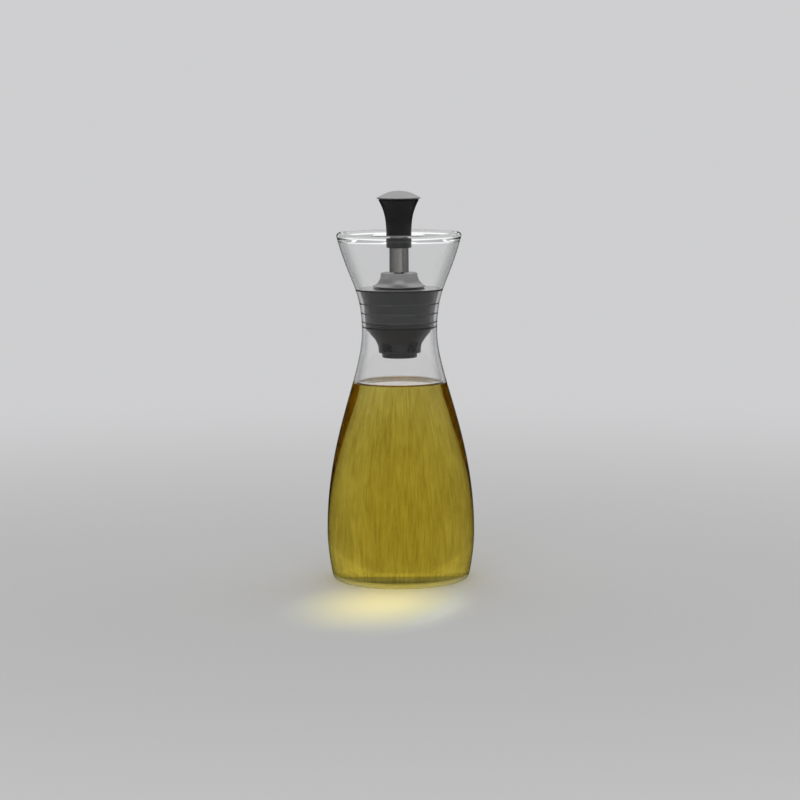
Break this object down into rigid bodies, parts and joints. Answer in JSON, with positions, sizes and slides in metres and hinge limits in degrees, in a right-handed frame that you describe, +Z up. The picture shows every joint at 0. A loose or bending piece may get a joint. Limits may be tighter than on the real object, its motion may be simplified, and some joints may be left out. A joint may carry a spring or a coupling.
{
  "type": "oil and vinegar bottle",
  "caption": "Clear waisted glass table bottle for oil or vinegar, with a funnel mouth, a silicone bung and a tip-to-pour valve lifted by a steel-topped knob.",
  "frame": {"origin": "centre of the bottle's base, on the plane of the table that it stands on", "axes": "+Z up along the axis of the bottle, through the knob; the bottle is round, so X and Y are free"},
  "size_m": [0.076, 0.076, 0.2002],
  "materials": {
    "glass": "clear, fire-polished",
    "oil": "clear golden olive liquid",
    "silicone": "matt charcoal silicone",
    "moulding": "fine satin moulded plastic",
    "grip": "satin moulded plastic",
    "satin_steel": "satin, fine round brushing",
    "bright_steel": "bright drawn stainless steel",
    "brass": "machined"
  },
  "bodies": {
    "bottle": {"glass_bottle": "glass", "oil_fill": "oil"},
    "stopper": {"bung_seal": "silicone", "pour_core": "moulding", "core_end_cap": "moulding"},
    "valve": {"valve_cap": "satin_steel", "valve_seal": "silicone", "seal_washer": "bright_steel", "seal_nut": "bright_steel", "guide_rod": "bright_steel", "stop_washer": "bright_steel", "stop_nut": "bright_steel", "stem_tube": "bright_steel", "knob_grip": "grip", "knob_insert": "brass", "knob_cap": "satin_steel"}
  },
  "joints": [
    {"name": "stopper_lift", "type": "slide", "parent": "bottle", "child": "stopper", "axis": [0, 0, 1], "range_m": [0, 0.07]},
    {"name": "valve_slide", "type": "slide", "parent": "stopper", "child": "valve", "axis": [0, 0, 1], "range_m": [0, 0.006]}
  ]
}
